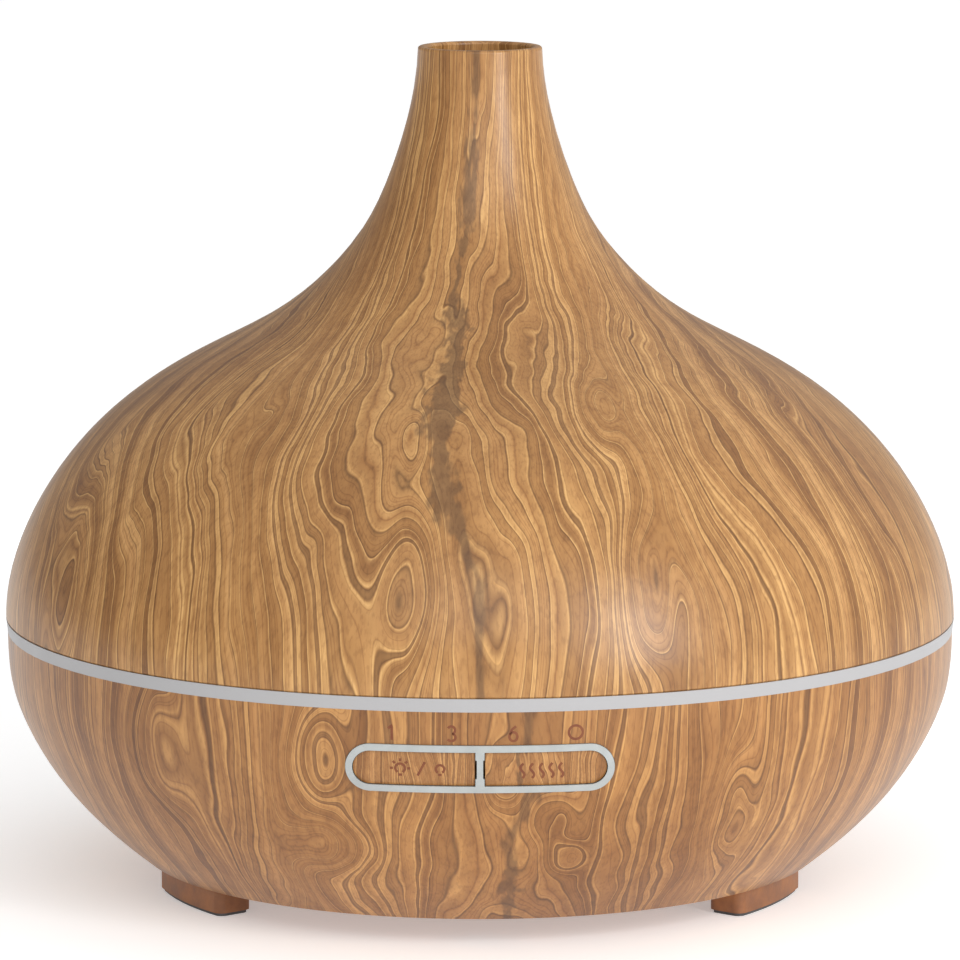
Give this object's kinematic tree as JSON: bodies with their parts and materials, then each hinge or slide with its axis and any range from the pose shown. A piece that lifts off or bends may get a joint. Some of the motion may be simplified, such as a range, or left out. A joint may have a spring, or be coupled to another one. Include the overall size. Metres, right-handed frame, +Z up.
{
  "type": "essential oil diffuser",
  "caption": "Onion-shaped ultrasonic oil diffuser: a lift-off necked cover over an inner mist cover and water tank, on a rounded case with a fan, a driver board and push buttons.",
  "frame": {"origin": "on the floor under the middle of the feet, on the axis of the case", "axes": "+Z up along the axis of the neck, -Y towards the buttons, +X to the right as seen from the front"},
  "size_m": [0.168, 0.168, 0.148],
  "materials": {
    "wood_print": "satin",
    "natural_polypropylene": "satin translucent",
    "brown_abs": "satin",
    "grey_abs": "satin",
    "pad_rubber": "matte",
    "silicone": "matte",
    "steel": "satin",
    "ceramic": "matte",
    "black_plastic": "satin",
    "white_plastic": "satin",
    "circuit_board": "satin",
    "light_emitter": "gloss",
    "copper_winding": "gloss",
    "bronze": "satin",
    "magnet": "matte",
    "aluminium": "satin",
    "lead_insulation": "satin"
  },
  "bodies": {
    "case": {"base_shell": "wood_print", "water_tank": "natural_polypropylene", "air_duct": "natural_polypropylene", "bottom_cover": "brown_abs", "button_frame": "grey_abs", "foot_pad_left": "pad_rubber", "foot_pad_right": "pad_rubber", "foot_pad_rear": "pad_rubber", "disc_seal": "silicone", "disc_face": "steel", "piezo_ceramic": "ceramic", "disc_retainer": "black_plastic", "disc_screws": "steel", "case_screws": "steel", "light_switch": "black_plastic", "mist_switch": "black_plastic", "button_board": "circuit_board", "button_board_screws": "steel", "timer_leds": "light_emitter", "led_ring_board": "circuit_board", "ring_leds": "light_emitter", "fan_frame": "black_plastic", "fan_bearing": "bronze", "fan_stator": "copper_winding", "fan_screws": "steel", "driver_board": "circuit_board", "board_screws": "steel", "control_chips": "black_plastic", "power_inductor": "copper_winding", "board_capacitors": "aluminium", "power_transistor": "black_plastic", "heat_sink": "aluminium", "board_connectors": "white_plastic", "dc_jack": "black_plastic", "jack_pin": "steel", "piezo_lead": "lead_insulation", "fan_lead": "lead_insulation", "button_lead": "lead_insulation", "led_lead": "lead_insulation", "jack_lead": "lead_insulation"},
    "cover": {"outer_cover": "wood_print"},
    "inner_cover": {"mist_cover": "natural_polypropylene"},
    "light_key": {"light_button": "wood_print", "light_switch_plunger": "white_plastic"},
    "mist_key": {"mist_button": "wood_print", "mist_switch_plunger": "white_plastic"},
    "fan_wheel": {"fan_rotor": "black_plastic", "fan_magnet": "magnet", "fan_shaft": "steel"}
  },
  "joints": [
    {"name": "cover_lift", "type": "slide", "parent": "case", "child": "cover", "axis": [0, 0, 1], "range_m": [0, 0.16]},
    {"name": "inner_cover_lift", "type": "slide", "parent": "case", "child": "inner_cover", "axis": [0, 0, 1], "range_m": [0, 0.06]},
    {"name": "light_press", "type": "slide", "parent": "case", "child": "light_key", "axis": [0, 1, 0], "range_m": [0, 0.0005], "stiffness_N_per_m": 800, "springref_m": -0.0006},
    {"name": "mist_press", "type": "slide", "parent": "case", "child": "mist_key", "axis": [0, 1, 0], "range_m": [0, 0.0005], "stiffness_N_per_m": 800, "springref_m": -0.0006},
    {"name": "fan_spin", "type": "hinge", "parent": "case", "child": "fan_wheel", "pos_m": [0, 0.024, 0.0105], "axis": [0, 0, 1], "continuous": true}
  ],
  "couplings": [
    {"joint": "inner_cover_lift", "follows": "cover_lift", "ratio": 0.375}
  ]
}
